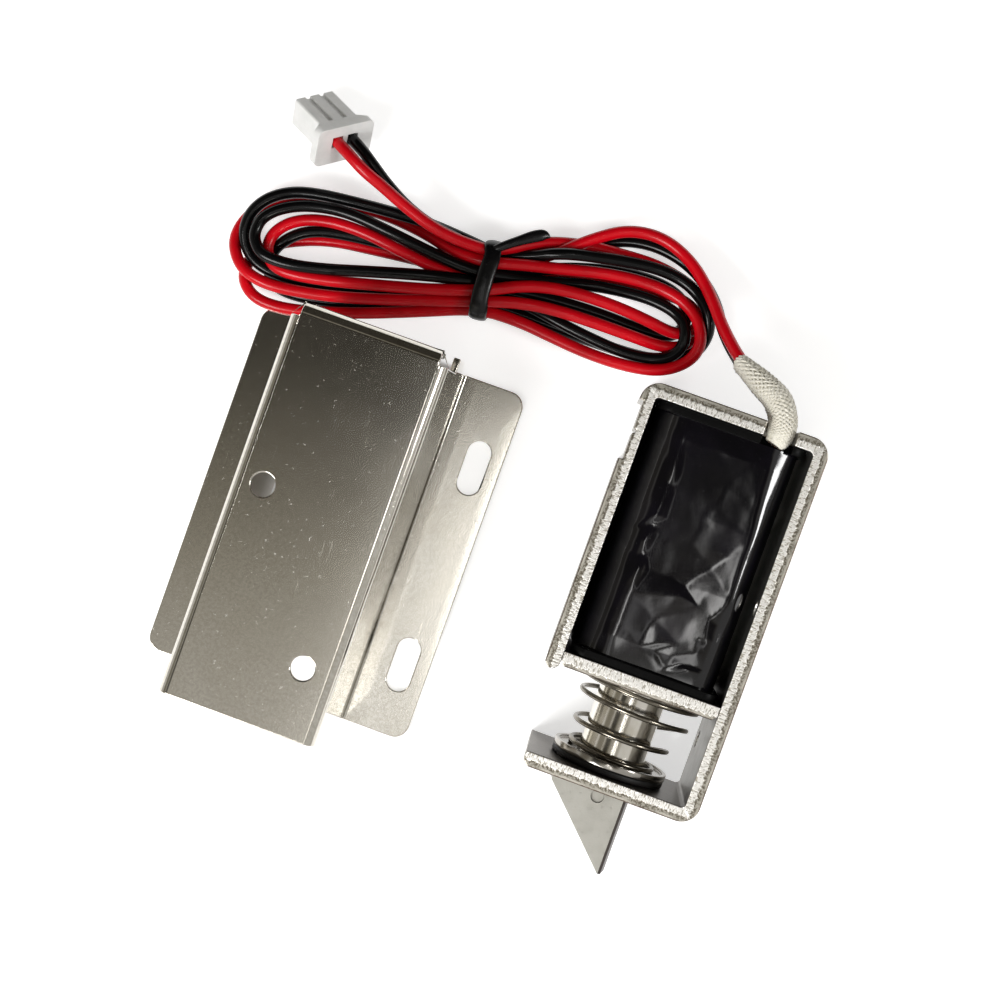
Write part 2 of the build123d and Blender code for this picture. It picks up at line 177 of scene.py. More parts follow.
class Shade:
    """The node tree of one material, or of the world."""

    def __init__(self, name: str, world: Optional[bpy.types.World] = None) -> None:
        """Start an empty tree, in a new material of that name unless a world is given."""
        self.material = world or bpy.data.materials.new(name)
        self.material.use_nodes = True
        self.tree = self.material.node_tree
        self.tree.nodes.clear()

    def node(
        self, kind: str, settings: Optional[dict] = None, values: Optional[dict] = None,
        out: Union[int, str] = 0,
    ) -> Value:
        """Add a node as add_node does, and return its output of that name or index as a Value."""
        return Value(self, add_node(self.tree, kind, settings, values).outputs[out])

    def math(self, operation: str, *values: Number) -> Value:
        """A Math node on numbers or Values."""
        return self.node("ShaderNodeMath", {"operation": operation}, dict(enumerate(values)))

    def mix(self, factor: Number, first: Union[Value, Color], second: Union[Value, Color]) -> Value:
        """Blend two colours, from the first at 0 to the second at 1."""
        pair = [c if isinstance(c, Value) else (*c, 1.0) for c in (first, second)]
        values = {0: factor, 6: pair[0], 7: pair[1]}
        return self.node("ShaderNodeMix", {"data_type": "RGBA"}, values, 2)

    def place(self) -> Value:
        """Object coordinates, in metres."""
        return self.node("ShaderNodeTexCoord", out="Object")

    def facing(self) -> Value:
        """The surface's own direction in object space."""
        return self.node("ShaderNodeTexCoord", out="Normal")

    def axes(self, vector: Value) -> tuple[Value, Value, Value]:
        """Split a vector into three Values."""
        split = add_node(self.tree, "ShaderNodeSeparateXYZ", None, {0: vector})
        return tuple(Value(self, output) for output in split.outputs)

    def join(self, x: Number, y: Number, z: Number) -> Value:
        """Make a vector of three numbers or Values."""
        return self.node("ShaderNodeCombineXYZ", None, {0: x, 1: y, 2: z})

    def stretch(self, vector: Value, factors: Point) -> Value:
        """Scale a vector's axes."""
        return self.node("ShaderNodeVectorMath", {"operation": "MULTIPLY"}, {0: vector, 1: factors})

    def noise(self, vector: Value, per_mm: float, detail: float = 3.0, rough: float = 0.55) -> Value:
        """Noise of about that many blotches to the millimetre, from 0 to 1."""
        values = {"Vector": vector, "Scale": per_mm / MM, "Detail": detail, "Roughness": rough}
        return self.node("ShaderNodeTexNoise", None, values)

    def output(self, shader: Value) -> Material:
        """Link a shader to the tree's output and return the material."""
        kind = "World" if isinstance(self.material, bpy.types.World) else "Material"
        add_node(self.tree, f"ShaderNodeOutput{kind}", None, {"Surface": shader})
        return self.material

    def close(
        self, color: Value, rough: Number, height: Value, relief_mm: float, more: Optional[dict] = None
    ) -> Material:
        """Finish with a Principled shader.

        Args:
            color: its base colour.
            rough: its roughness.
            height: its relief, from 0 to 1.
            relief_mm: the height that 1 stands for.
            more: its other sockets, by name.

        Returns:
            The material.
        """
        bump = self.node("ShaderNodeBump", None, {"Height": height, "Distance": relief_mm * MM})
        values = {"Base Color": color, "Roughness": rough, "Normal": bump, **(more or {})}
        return self.output(self.node("ShaderNodeBsdfPrincipled", None, values))


# Finishes


@dataclass(frozen=True)
class StripNickel:
    """Plated steel strip whose sheared edges face up and down.

    The sheared edge shows a burnished band towards the inside of the bend, and a torn, darker one
    outside, with painted shade along its outermost rim. Faces that face +y carry painted shade.
    """

    name: str = "nickel_strip"
    outline_middle: tuple[float, float] = (27.45, 5.75)
    outline_half: tuple[float, float] = (13.0, 27.0)
    plate_low: Optional[float] = None
    torn_to: float = 0.95
    face: Color = (0.44, 0.43, 0.405)
    face_dull: Color = (0.385, 0.372, 0.345)
    # painted shade: colour of the faces that face +y
    face_painted_shade: Color = (0.15, 0.135, 0.12)
    burnished: Color = (0.97, 0.95, 0.91)
    torn: Color = (0.17, 0.15, 0.115)
    torn_pale: Color = (0.62, 0.59, 0.52)
    pit: Color = (0.30, 0.27, 0.21)
    # painted shade: colour of the sheared edge's outermost rim
    painted_rim_shade: Color = (0.11, 0.075, 0.055)
    roughness: float = 0.36
    relief_mm: float = 0.07

    def depth(self, s: Shade, x: Value, y: Value) -> tuple[Value, Value]:
        """Distance in from the strip's outside and distance along it, both in metres.

        Args:
            s: the material that is being made.
            x: place across the frame.
            y: place along the frame.

        Returns:
            The two distances.
        """
        if self.plate_low is not None:
            return y - self.plate_low * MM, x
        over_x = abs(x - self.outline_middle[0] * MM) - self.outline_half[0] * MM
        over_y = abs(y - self.outline_middle[1] * MM) - self.outline_half[1] * MM
        sideways = (over_x - over_y).ramp(-0.0002, 0.0002)
        return 0 - over_x.most(over_y), sideways * y + (1 - sideways) * x

    def material(self) -> Material:
        """Make the material."""
        s = Shade(self.name)
        spot = s.place()
        x, y, _ = s.axes(spot)
        _, ny, nz = s.axes(s.facing())
        deep, run = self.depth(s, x, y)
        cut = abs(nz).ramp(0.55, 0.8)
        wander = s.noise(s.join(run, 0.0, 0.0), 1.1, 3.0) - 0.5
        streaks = s.noise(s.join(run, deep * 0.30, 0.0), 4.6, 2.0, 0.55)
        grain = s.noise(s.join(run, deep * 0.8, 0.3), 3.4, 3.0)
        edge = deep + wander * 0.0006 + (grain - 0.5) * 0.0007
        bright = edge.ramp(self.torn_to * MM - 0.00012, self.torn_to * MM + 0.00012)
        pale = edge.ramp(0.00048, 0.00036) * s.noise(s.join(run, 0.0, 7.0), 0.16, 2.0).ramp(0.40, 0.56)
        # painted shade along the sheared edge's outermost 0.1 to 0.2 mm
        painted_rim_shade = (deep + wander * 0.0002).ramp(0.00022, 0.00010)
        pits = streaks.ramp(0.50, 0.38) * bright
        color = s.mix(grain.ramp(0.42, 0.60) * 0.75, self.torn, self.torn_pale)
        color = s.mix(pale, color, self.torn_pale)
        color = s.mix(bright, color, self.burnished)
        color = s.mix(pits * 0.8, color, self.pit)
        color = s.mix(painted_rim_shade, color, self.painted_rim_shade)
        wear = s.noise(spot, 0.45, 4.0)
        flat = s.mix(wear.ramp(0.35, 0.7), self.face, self.face_dull)
        # painted shade: faces that face +y are darkened by their direction alone
        flat = s.mix(ny.ramp(0.5, 0.8), flat, self.face_painted_shade)
        color = s.mix(cut, flat, color)
        rough = self.roughness + (wear - 0.5) * 0.06 + cut * (0.04 + pits * 0.25)
        fine = s.noise(s.stretch(spot, (1.0, 1.0, 6.0)), 2.0, 2.0)
        height = cut * streaks * (0.25 + bright * 0.75) + (1 - cut) * fine * 0.12
        return s.close(color, rough, height, self.relief_mm, METAL)


@dataclass(frozen=True)
class SheetNickel:
    """Plated steel sheet with fine speckle and a few hairline scratches."""

    name: str
    color: Color = (0.68, 0.655, 0.60)
    dull: Color = (0.58, 0.55, 0.48)
    roughness: float = 0.115
    speckle: float = 0.35
    pale: Color = (0.86, 0.84, 0.78)
    mottled: Color = (0.42, 0.39, 0.33)
    relief_mm: float = 0.0022

    def material(self) -> Material:
        """Make the material."""
        s = Shade(self.name)
        spot = s.place()
        clouds = s.noise(spot, 0.12, 4.0)
        specks = s.noise(spot, 2.2, 1.0).ramp(0.70, 0.76)
        pores = s.noise(spot, 3.4, 2.0)
        mottle = s.noise(spot, 2.6, 3.0)
        lines = s.noise(s.stretch(spot, (3.2, 0.22, 1.0)), 0.7, 3.0, 0.6).ramp(0.69, 0.73)
        color = s.mix(clouds.ramp(0.35, 0.7) * 0.5, self.color, self.dull)
        color = s.mix(mottle.ramp(0.40, 0.62) * 0.24, color, self.mottled)
        color = s.mix(specks * self.speckle, color, self.pale)
        rough = self.roughness + (clouds - 0.5) * 0.06 + specks * 0.12 + (mottle - 0.5) * 0.05
        height = pores * 0.8 + specks * 0.5 + lines * 0.35
        return s.close(color, rough, height, self.relief_mm, METAL)


@dataclass(frozen=True)
class TurnedMetal:
    """Turned or drawn metal with fine lines round the bolt's axis."""

    name: str
    color: Color
    stain: Color
    roughness: float = 0.2
    lines_per_mm: float = 7.0
    relief_mm: float = 0.006

    def material(self) -> Material:
        """Make the material."""
        s = Shade(self.name)
        spot = s.place()
        _, y, _ = s.axes(spot)
        turning = s.noise(s.join(y, 0.0, 0.0), self.lines_per_mm, 3.0, 0.6)
        clouds = s.noise(s.stretch(spot, (1.0, 0.5, 1.0)), 0.35, 3.0)
        color = s.mix(clouds.ramp(0.45, 0.75) * 0.6, self.color, self.stain)
        rough = self.roughness + (turning - 0.5) * 0.12 + (clouds - 0.5) * 0.1
        return s.close(color, rough, turning, self.relief_mm, METAL)


@dataclass(frozen=True)
class CastMetal:
    """Tumbled die casting, matte, with a painted highlight and painted shade on faces that turn to +x.
    """

    name: str = "cast_zinc"
    color: Color = (0.47, 0.46, 0.42)
    dark: Color = (0.31, 0.295, 0.26)
    # painted shade: colour of the sides that face +x
    edge: Color = (0.07, 0.06, 0.055)
    # painted highlight: colour of faces turned slightly to +x
    painted_highlight: Color = (0.92, 0.90, 0.86)
    roughness: float = 0.44
    relief_mm: float = 0.02

    def material(self) -> Material:
        """Make the material."""
        s = Shade(self.name)
        spot = s.place()
        grain = s.noise(spot, 3.2, 4.0)
        clouds = s.noise(spot, 0.3, 4.0)
        dents = s.noise(spot, 1.2, 2.0).ramp(0.62, 0.74)
        color = s.mix(clouds.ramp(0.4, 0.75) * 0.45, self.color, self.dark)
        color = s.mix(dents * 0.25, color, self.dark)
        nx, _, _ = s.axes(s.facing())
        # painted highlight on faces turned slightly to +x
        color = s.mix(nx.between((0.05, 0.16), (0.32, 0.22)), color, self.painted_highlight)
        # painted shade on the sides that face +x
        color = s.mix(nx.ramp(0.30, 0.42), color, self.edge)
        rough = self.roughness + (grain - 0.5) * 0.16
        height = grain * 0.7 - dents * 0.5
        return s.close(color, rough, height, self.relief_mm, {"Metallic": 0.9})


@dataclass(frozen=True)
class Moulding:
    """Moulded plastic, rubber or insulation with a faint uneven skin."""

    name: str
    color: Color
    shade_color: Color
    roughness: float
    per_mm: float = 0.8
    relief_mm: float = 0.02
    soft: float = 0.0
    gloss: float = 0.5

    def material(self) -> Material:
        """Make the material."""
        s = Shade(self.name)
        spot = s.place()
        skin = s.noise(spot, self.per_mm, 3.0)
        clouds = s.noise(spot, self.per_mm * 0.22, 3.0)
        color = s.mix(clouds.ramp(0.35, 0.75), self.color, self.shade_color)
        rough = self.roughness + (skin - 0.5) * 0.10 + (clouds - 0.5) * 0.08
        more = {"Specular IOR Level": self.gloss}
        if self.soft:
            more["Subsurface Weight"] = self.soft
            more["Subsurface Radius"] = (1.0, 1.0, 1.0)
            more["Subsurface Scale"] = MM
        return s.close(color, rough, skin, self.relief_mm, more)


@dataclass(frozen=True)
class CoilCopper:
    """Enamelled wire wound in fine turns round the bolt's axis."""

    name: str = "copper_wire"
    color: Color = (0.72, 0.30, 0.14)
    gap: Color = (0.20, 0.06, 0.03)
    wire_per_mm: float = 5.0
    relief_mm: float = 0.08

    def material(self) -> Material:
        """Make the material."""
        s = Shade(self.name)
        spot = s.place()
        _, y, _ = s.axes(spot)
        turn = abs(s.math("SINE", y * (math.pi * self.wire_per_mm / MM)))
        color = s.mix(turn.ramp(0.0, 0.5), self.gap, self.color)
        return s.close(color, 0.3 + (1 - turn) * 0.2, turn, self.relief_mm, {"Metallic": 0.85})


@dataclass(frozen=True)
class TapeVinyl:
    """Glossy black insulating tape with faint stretch marks and dust."""

    name: str = "black_tape"
    color: Color = (0.0022, 0.002, 0.003)
    bloom: Color = (0.005, 0.004, 0.0075)
    dust: Color = (0.35, 0.34, 0.33)
    roughness: float = 0.085
    relief_mm: float = 0.004

    def material(self) -> Material:
        """Make the material."""
        s = Shade(self.name)
        spot = s.place()
        clouds = s.noise(spot, 0.16, 4.0)
        skin = s.noise(spot, 0.5, 4.0, 0.6)
        dust = s.noise(spot, 4.5, 2.0).ramp(0.70, 0.76)
        color = s.mix(clouds.ramp(0.4, 0.75) * 0.7, self.color, self.bloom)
        color = s.mix(dust * 0.05, color, self.dust)
        rough = self.roughness + (clouds - 0.5) * 0.05 + dust * 0.15
        return s.close(color, rough, skin, self.relief_mm, {"Specular IOR Level": 0.6})


@dataclass(frozen=True)
class BraidYarn:
    """Cotton or glass yarn of the sleeve, with fine fibres along each stitch."""

    name: str = "cream_braid"
    color: Color = (0.84, 0.81, 0.72)
    shadow: Color = (0.56, 0.52, 0.39)
    roughness: float = 0.8
    relief_mm: float = 0.05

    def material(self) -> Material:
        """Make the material."""
        s = Shade(self.name)
        spot = s.place()
        fibre = s.noise(spot, 6.0, 3.0, 0.7)
        stain = s.noise(spot, 0.45, 3.0).ramp(0.45, 0.75)
        color = s.mix(stain * 0.5, self.color, self.shadow)
        color = s.mix(fibre.ramp(0.55, 0.35) * 0.35, color, self.shadow)
        return s.close(color, self.roughness, fibre, self.relief_mm, {"Sheen Weight": 0.25})


# Mesh tools


def link(obj: Obj) -> Obj:
    """Put an object in the scene."""
    bpy.context.scene.collection.objects.link(obj)
    return obj


def mesh_object(name: str, points: Sequence[Point], faces: Sequence[Sequence[int]]) -> Obj:
    """Make a mesh piece.

    Args:
        name: the piece's name.
        points: corners in millimetres, in the row frame.
        faces: indices of each face's corners.

    Returns:
        The object, at the origin, in metres.
    """
    mesh = bpy.data.meshes.new(name)
    mesh.from_pydata([tuple(c * MM for c in p) for p in points], [], faces)
    mesh.validate()
    work = bmesh.new()
    work.from_mesh(mesh)
    bmesh.ops.remove_doubles(work, verts=work.verts, dist=WELD_M)
    bmesh.ops.recalc_face_normals(work, faces=work.faces)
    work.to_mesh(mesh)
    work.free()
    return link(bpy.data.objects.new(name, mesh))


def smooth(obj: Obj, sharp_deg: float = 35.0) -> Obj:
    """Shade a piece smooth but for its sharp edges."""
    obj.data.shade_smooth()
    obj.data.set_sharp_from_angle(angle=math.radians(sharp_deg))
    return obj


def bake_modifiers(obj: Obj) -> Obj:
    """Turn a piece with modifiers into a plain mesh."""
    bpy.context.view_layer.update()
    seen = obj.evaluated_get(bpy.context.evaluated_depsgraph_get())
    mesh = bpy.data.meshes.new_from_object(seen)
    old = obj.data
    obj.modifiers.clear()
    obj.data = mesh
    mesh.name = obj.name
    if old.users == 0:
        bpy.data.meshes.remove(old)
    return obj


def rounded_copy(
    node: str, edge_mm: float, segments: int = 2, sharp_deg: float = 28.0, clamp: bool = True
) -> Obj:
    """Copy a CAD node's shape and round its sharp edges.

    Args:
        node: the CAD node, which the copy then stands for.
        edge_mm: width of the rounding.
        segments: faces across the rounding.
        sharp_deg: edges that turn by more than this are rounded.
        clamp: whether the shortest edge limits the rounding.

    Returns:
        The new piece.
    """
    mesh = frame["nodes"][node].data.copy()
    mesh.materials.clear()
    work = bmesh.new()
    work.from_mesh(mesh)
    bmesh.ops.remove_doubles(work, verts=work.verts, dist=CAD_WELD_M)
    flat = math.radians(FLAT_DEG)
    bmesh.ops.dissolve_limit(work, angle_limit=flat, verts=work.verts, edges=work.edges)
    plain = bpy.data.meshes.new(node)
    work.to_mesh(plain)
    work.free()
    bpy.data.meshes.remove(mesh)
    corners = [v.co for v in plain.vertices]
    shell = BVHTree.FromPolygons(corners, [tuple(p.vertices) for p in plain.polygons])
    obj = link(bpy.data.objects.new(f"{node}_dressed", plain))
    bevel = obj.modifiers.new("rounding", "BEVEL")
    bevel.width = edge_mm * MM
    bevel.segments = segments
    bevel.limit_method = "ANGLE"
    bevel.angle_limit = math.radians(sharp_deg)
    bevel.use_clamp_overlap = clamp
    bake_modifiers(obj)
    for corner in obj.data.vertices:
        spot, _, _, away = shell.find_nearest(corner.co)
        if away > STRAY_SHARE * edge_mm * MM:
            corner.co = spot
    smooth(obj, sharp_deg=40.0)
    weight = obj.modifiers.new("flat_faces", "WEIGHTED_NORMAL")
    weight.keep_sharp = True
    bake_modifiers(obj)
    return obj


def finish_piece(
    obj: Obj, material: Material, body: Body, nodes: Iterable[str] = ()
) -> Obj:
    """Dress a piece and tie it to the frame.

    Args:
        obj: the finished piece.
        material: its material.
        body: the body that it rides on.
        nodes: CAD nodes that it stands for.

    Returns:
        The same piece.
    """
    obj.data.materials.clear()
    obj.data.materials.append(material)
    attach(obj, body.value)
    if nodes:
        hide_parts(*nodes)
    log.info("piece %s rides on %s", obj.name, body.value)
    return obj


def dress_node(node: str, material: Material) -> None:
    """Give a CAD node that stays its material."""
    mesh = frame["nodes"][node].data
    mesh.materials.clear()
    mesh.materials.append(material)
    log.info("node %s dressed with %s", node, material.name)


def spline_curve(name: str, points: Sequence[Point], diameter_mm: float) -> Obj:
    """Make a cord: one smooth open spline with a round bevel.

    Args:
        name: the piece's name.
        points: its control points, in millimetres.
        diameter_mm: its diameter.

    Returns:
        The curve object.
    """
    curve = bpy.data.curves.new(name, "CURVE")
    curve.dimensions = "3D"
    curve.bevel_depth = diameter_mm * MM / 2
    curve.bevel_resolution = 5
    curve.resolution_u = 10
    curve.use_fill_caps = True
    spline = curve.splines.new("NURBS")
    spline.points.add(len(points) - 1)
    for place, point in zip(spline.points, points):
        place.co = (*(c * MM for c in point), 1.0)
    spline.use_endpoint_u = True
    spline.order_u = 3
    return link(bpy.data.objects.new(name, curve))


# Geometry node tools


class Tree:
    """A Geometry Nodes tree with named inputs."""

    def __init__(self, name: str) -> None:
        """Start a tree that takes and gives a geometry."""
        self.group = bpy.data.node_groups.new(name, "GeometryNodeTree")
        for way in ("INPUT", "OUTPUT"):
            self.group.interface.new_socket("Geometry", in_out=way, socket_type="NodeSocketGeometry")
        self.source = self.group.nodes.new("NodeGroupInput")
        self.sink = self.group.nodes.new("NodeGroupOutput")
        self.ids: dict[str, str] = {}

    def input(self, name: str, kind: str = "NodeSocketFloat") -> Socket:
        """Add a named input and return its socket inside the tree."""
        made = self.group.interface.new_socket(name, in_out="INPUT", socket_type=kind)
        self.ids[name] = made.identifier
        return self.source.outputs[name]

    def node(self, kind: str, values: dict) -> Socket:
        """Add a node with these inputs, and return its first output."""
        return add_node(self.group, kind, None, values).outputs[0]

    def end(self, geometry: Socket, material: Material) -> None:
        """Finish with real geometry in that material."""
        real = self.node("GeometryNodeRealizeInstances", {0: geometry})
        dressed = self.node("GeometryNodeSetMaterial", {0: real, "Material": material})
        self.group.links.new(dressed, self.sink.inputs[0])

    def make(self, obj: Obj, values: dict[str, object]) -> Obj:
        """Run the tree on an object with these inputs and keep the plain mesh."""
        modifier = obj.modifiers.new(self.group.name, "NODES")
        modifier.node_group = self.group
        for name, value in values.items():
            modifier[self.ids[name]] = value
        return bake_modifiers(obj)


def round_wires(
    name: str,
    lines: Sequence[Sequence[Point]],
    radius_mm: float,
    sides: int,
    material: Material,
    flat: float = 1.0,
) -> Obj:
    """Make round wires or yarns along lines, with a Geometry Nodes tree.

    Args:
        name: the piece's name.
        lines: the points along each wire, in millimetres.
        radius_mm: the wire's radius.
        sides: faces round the wire.
        material: its material.
        flat: thickness of the section over its width.

    Returns:
        The plain mesh piece.
    """
    tree = Tree(f"wires_{name}")
    radius = tree.input("Radius")
    around = tree.input("Sides", "NodeSocketInt")
    curve = tree.node("GeometryNodeMeshToCurve", {0: tree.source.outputs[0]})
    ring = tree.node("GeometryNodeCurvePrimitiveCircle", {"Resolution": around, "Radius": radius})
    pressed = tree.node("GeometryNodeTransform", {"Geometry": ring, "Scale": (1.0, flat, 1.0)})
    values = {"Curve": curve, "Profile Curve": pressed, "Fill Caps": True}
    tube = tree.node("GeometryNodeCurveToMesh", values)
    tree.end(tree.node("GeometryNodeSetShadeSmooth", {0: tube}), material)
    points = [tuple(c * MM for c in p) for line in lines for p in line]
    edges: list[tuple[int, int]] = []
    first = 0
    for line in lines:
        edges += [(first + i, first + i + 1) for i in range(len(line) - 1)]
        first += len(line)
    mesh = bpy.data.meshes.new(name)
    mesh.from_pydata(points, edges, [])
    obj = link(bpy.data.objects.new(name, mesh))
    return tree.make(obj, {"Radius": radius_mm * MM, "Sides": sides})


def blend_points(points: Stations, share: float) -> list[float]:
    """Place on a smooth curve through stations (Catmull-Rom).

    Args:
        points: the stations, of any number of values each.
        share: place along the curve, from 0 to 1.

    Returns:
        The blended values.
    """
    run = min(max(share, 0.0), 1.0) * (len(points) - 1)
    i = min(int(run), len(points) - 2)
    t = run - i
    before, after = points[max(i - 1, 0)], points[min(i + 2, len(points) - 1)]
    out = []
    for a, b, c, d in zip(before, points[i], points[i + 1], after):
        square = (2 * a - 5 * b + 4 * c - d) * t * t
        out.append(0.5 * (2 * b + (c - a) * t + square + (3 * b - a - 3 * c + d) * t**3))
    return out


def cross_axes(points: Stations, share: float, reach: float) -> tuple[list[float], Vector, Vector]:
    """Directions across a curve through stations.

    Args:
        points: the stations, each a place and what else is blended.
        share: place along the curve, from 0 to 1.
        reach: how far before and behind the curve's direction is read, as a share.

    Returns:
        The blended station, the level direction and the rising one.
    """
    ahead, back = (Vector(blend_points(points, share + r)[:3]) for r in (reach, -reach))
    way = (ahead - back).normalized()
    level = way.cross(Vector(UPWARD)).normalized()
    return blend_points(points, share), level, level.cross(way)


def skin_rings(name: str, rings: Sequence[Sequence[Point]], closed: bool) -> Obj:
    """Make a piece by skinning rings of points.

    Args:
        name: the piece's name.
        rings: rings with the same number of points each, in millimetres.
        closed: whether the last ring joins the first. Otherwise both ends are capped.

    Returns:
        The piece.
    """
    around = len(rings[0])
    points = [p for ring in rings for p in ring]
    faces: list[tuple[int, ...]] = []
    for row in range(len(rings) if closed else len(rings) - 1):
        here, after = row * around, (row + 1) % len(rings) * around
        for step in range(around):
            beside = (step + 1) % around
            faces.append((here + step, here + beside, after + beside, after + step))
    if not closed:
        faces.append(tuple(range(around)))
        faces.append(tuple(range(len(points) - around, len(points))))
    return smooth(mesh_object(name, points, faces), sharp_deg=50.0)


# Sub-assemblies


@dataclass
class Chassis:
    """Bent strip frame and its second pole plate."""

    edge_mm: float = 0.16
    frame_finish: StripNickel = StripNickel()
    plate_finish: StripNickel = StripNickel(name="nickel_strip_plate", plate_low=-7.05, torn_to=0.55)

    def build(self) -> None:
        """Make both plated pieces."""
        for node, finish in (("frame", self.frame_finish), ("inner_plate", self.plate_finish)):
            piece = rounded_copy(node, self.edge_mm, 3, clamp=False)
            finish_piece(piece, finish.material(), Body.CASE, [node])


@dataclass
class Cover:
    """Folded sheet cover that stands beside the solenoid."""

    edge_mm: float = 0.18
    finish: SheetNickel = SheetNickel("nickel_sheet")

    def build(self) -> None:
        """Make the cover."""
        piece = rounded_copy("cover", self.edge_mm, 2, clamp=False)
        finish_piece(piece, self.finish.material(), Body.CASE, ["cover"])


@dataclass
class Coil:
    """Spool, winding, creased tape and guide tube.

    A crease point is a place across and along the coil in tenths of a millimetre, and how far the tape
    stands proud there in hundredths. Those with 0 keep the folds apart.
    """

    middle: tuple[float, float] = (27.45, 9.5)
    high: float = 29.6
    low: float = -3.9
    rows: int = 170
    around: int = 150
    wall: float = 0.3
    slack: float = 0.014
    end_dip: float = 0.10
    end_rate: float = 12.0
    flat_from: float = 15.5
    flat_over: float = 1.6
    upper: Stations = (
        (16.7, 9.5), (16.9, 13.2), (17.9, 15.9), (19.6, 17.4), (21.4, 17.88), (34.6, 17.88),
        (36.2, 17.05), (36.95, 15.6), (37.2, 13.0), (37.3, 9.5),
    )
    right_shoulder: int = 5
    lower: Stations = (
        (37.1, 5.4), (36.3, 3.0), (34.6, 1.4), (31.6, 1.05), (23.3, 1.05), (20.3, 1.4), (18.3, 3.0),
        (17.0, 5.4),
    )
    shoulder: Stations = (
        (29.6, 33.9), (24.0, 34.3), (19.0, 34.9), (12.0, 35.3), (8.9, 35.4), (-4.0, 35.0),
    )
    creases: Sequence[tuple[int, int, int]] = (
        (175, 305, 0), (375, 305, 0), (175, -50, 0), (375, -50, 0), (175, 120, 0), (375, 20, 0),
        (224, 295, 2), (223, 282, 9), (213, 266, 4), (219, 225, 10), (217, 207, 4), (218, 159, 18),
        (217, 149, 0), (212, 123, 14), (209, 99, 0), (220, 86, 20), (210, 66, 12), (279, 179, 0),
        (290, 199, 0), (311, 213, 5), (336, 229, 12), (346, 173, 16), (348, 152, 21), (326, 141, 10),
        (311, 119, 2), (294, 99, 0), (286, 83, 0), (313, 86, 14), (352, 85, 32), (342, 245, 12),
        (340, 285, 10), (223, 54, 12), (204, 29, 14), (211, 10, 10), (207, -12, 12), (223, -42, 5),
        (244, 60, 11), (286, 70, 13), (310, 64, 13), (332, 54, 20), (337, 30, 22), (330, 22, 12),
        (262, 30, 0), (257, 10, 0), (236, 2, 6), (256, -12, 4), (272, -2, 8), (302, 9, 9),
        (327, 22, 18), (276, -9, 0), (304, -7, 10), (332, 6, 17), (314, -16, 2), (334, -12, 5),
        (309, -31, 25), (326, -20, 30), (298, -27, 3), (290, -38, 18), (358, 45, 0), (354, -15, 0),
        (260, 120, 0), (255, 200, 0), (280, 260, 0), (245, 260, 0), (315, 265, 5), (233, 280, 0),
        (224, 256, 0), (230, 226, 0), (228, 205, 0), (229, 161, 0), (228, 140, 0), (222, 108, 0),
        (232, 88, 0), (270, 220, 0), (295, 235, 0), (275, 140, 0), (265, 90, 0),
    )

    def outline(self, y: float) -> list[Vector]:
        """Section of the tape at a place along the coil, as evenly spaced points in (x, z).

        Args:
            y: the place along the coil.

        Returns:
            The points, all the way round.
        """
        for (y0, x0), (y1, x1) in zip(self.shoulder, self.shoulder[1:]):
            if y1 <= y <= y0:
                edge = x0 + (x1 - x0) * (y0 - y) / (y0 - y1)
        corners = [Vector(p) for p in (*self.upper, *self.lower)]
        corners[self.right_shoulder].x = edge
        lengths = [(b - a).length for a, b in zip(corners, corners[1:] + corners[:1])]
        total = sum(lengths)
        points = []
        side, done = 0, 0.0
        for step in range(self.around):
            run = total * step / self.around
            while run > done + lengths[side]:
                done += lengths[side]
                side += 1
            share = (run - done) / lengths[side]
            points.append(corners[side].lerp(corners[(side + 1) % len(corners)], share))
        for _ in range(2):
            after = points[1:] + points[:1]
            points = [(points[i - 1] + 2 * p + after[i]) / 4 for i, p in enumerate(points)]
        return points

    def crease_net(self) -> BVHTree:
        """Folded sheet over the coil's upper side, from which the tape's creases are read."""
        flat = [Vector((x / TENTHS, y / TENTHS)) for x, y, _ in self.creases]
        corners, _, faces, sources, _, _ = delaunay_2d_cdt(flat, [], [], 0, 1e-4)
        lifts = [self.creases[source[0]][2] / TENTHS**2 for source in sources]
        return BVHTree.FromPolygons([(*c, lift) for c, lift in zip(corners, lifts)], faces)

    def lift(self, net: BVHTree, x: float, y: float, z: float) -> float:
        """How far the tape stands proud at a place, in millimetres.

        Args:
            net: the folded sheet.
            x: place across the coil.
            y: place along the coil.
            z: height.

        Returns:
            The distance.
        """
        slack = noise.fractal(Vector((x * 0.30, y * 0.16, z * 0.30)), 0.9, 2.0, 3) * self.slack
        hit = net.ray_cast(Vector((x, y, 5.0)), Vector((0, 0, -1)))[0]
        fold = hit.z if hit and z > self.middle[1] else 0.0
        return slack + fold * min(1.0, max(0.0, (z - self.flat_from) / self.flat_over))

    def tape(self) -> Obj:
        """Make the creased tape round the winding, as a closed tube with a wall."""
        net = self.crease_net()
        outer, inner = [], []
        middle = Vector(self.middle)
        for row in range(self.rows + 1):
            y = self.high + (self.low - self.high) * row / self.rows
            end = min(1.0, self.end_rate * min(row, self.rows - row) / self.rows)
            outer_ring, inner_ring = [], []
            for p in self.outline(y):
                away = Vector((p.x - self.middle[0], p.y - self.middle[1]))
                inside = middle + away * (1 - self.wall / away.length)
                rise = self.lift(net, p.x, y, p.y) * end - self.end_dip * (1 - end)
                outer_ring.append((p.x, y, p.y + rise) if p.y > self.middle[1] else (p.x, y, p.y))
                inner_ring.append((inside.x, y, inside.y))
            outer.append(outer_ring)
            inner.append(inner_ring)
        return skin_rings("tape_wrap_dressed", outer + inner[::-1], True)

